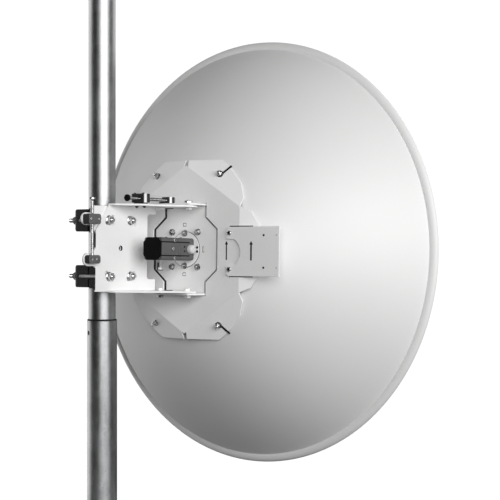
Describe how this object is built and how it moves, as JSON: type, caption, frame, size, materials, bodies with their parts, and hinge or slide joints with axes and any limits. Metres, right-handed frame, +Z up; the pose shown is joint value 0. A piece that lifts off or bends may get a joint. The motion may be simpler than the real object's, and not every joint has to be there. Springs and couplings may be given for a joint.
{
  "type": "parabolic dish antenna on a mast",
  "caption": "White parabolic microwave dish with a square waveguide unit behind it, on a fine-adjusting two-axis mount clamped to a galvanised mast.",
  "frame": {"origin": "centre of the mast's flat foot", "axes": "+Z up the mast; +Y the way the dish looks; +X from the mast to the arm"},
  "size_m": [0.843, 0.4538, 1.14],
  "materials": {
    "galvanised": "satin galvanised",
    "white_paint": "satin powder coat",
    "clamp_black": "black cast, satin",
    "block_grey": "dark anodised",
    "zinc": "bright zinc",
    "cast_grey": "matt grey casting",
    "black_plastic": "matt",
    "white_plastic": "smooth"
  },
  "bodies": {
    "mast": {"mast_upper_tube": "galvanised", "mast_lower_tube": "galvanised", "outer_jaw_upper": "clamp_black", "outer_jaw_lower": "clamp_black", "inner_jaw_upper": "clamp_black", "inner_jaw_lower": "clamp_black", "clamp_bolt_upper_back": "zinc", "clamp_bolt_upper_front": "zinc", "clamp_bolt_lower_back": "zinc", "clamp_bolt_lower_front": "zinc", "pole_plate": "white_paint", "elevation_pivot_pin": "zinc", "elevation_upper_block": "block_grey"},
    "elevation_arm": {"arm_channel": "white_paint", "azimuth_pivot_bolt_top": "zinc", "azimuth_pivot_bolt_bottom": "zinc", "azimuth_screw_block": "block_grey"},
    "elevation_screw": {"elevation_screw_rod": "zinc", "elevation_lower_block": "block_grey"},
    "azimuth_screw": {"azimuth_screw_rod": "zinc", "azimuth_swivel_block": "block_grey"},
    "dish_head": {"yoke": "white_paint", "azimuth_lock_bolt_top": "zinc", "azimuth_lock_bolt_bottom": "zinc", "hub_plate": "white_paint", "reflector": "white_paint", "radio_plate": "white_paint", "feed_flange": "cast_grey", "feed_tube": "cast_grey", "feed_cone": "white_plastic", "feed_sub_reflector": "cast_grey"},
    "waveguide_unit": {"omt_body": "cast_grey", "omt_cap": "black_plastic", "omt_side_cap": "white_plastic"}
  },
  "joints": [
    {"name": "elevation", "type": "hinge", "parent": "mast", "child": "elevation_arm", "pos_m": [0.045, 0, 0.6], "axis": [1, 0, 0], "range_deg": [-6.5, 9]},
    {"name": "elevation_screw_tilt", "type": "hinge", "parent": "elevation_arm", "child": "elevation_screw", "pos_m": [0.053, -0.08408, 0.57994], "axis": [1, 0, 0], "range_deg": [-6.8, 5]},
    {"name": "azimuth", "type": "hinge", "parent": "elevation_arm", "child": "dish_head", "pos_m": [0.1303, 0.09498, 0.59826], "axis": [0, 0.0183, 0.9998], "range_deg": [-9, 9]},
    {"name": "azimuth_screw_slide", "type": "slide", "parent": "elevation_arm", "child": "azimuth_screw", "axis": [0, 0.9998, -0.0183], "range_m": [-0.0078, 0.0078]},
    {"name": "polarisation", "type": "hinge", "parent": "dish_head", "child": "waveguide_unit", "pos_m": [0.1025, 0.05999, 0.5989], "axis": [0, 0.9998, -0.0183], "range_deg": [-20, 20]}
  ],
  "couplings": [
    {"joint": "elevation_screw_tilt", "follows": "elevation", "ratio": -0.72},
    {"joint": "azimuth_screw_slide", "follows": "azimuth", "m_per_rad": -0.0476}
  ]
}
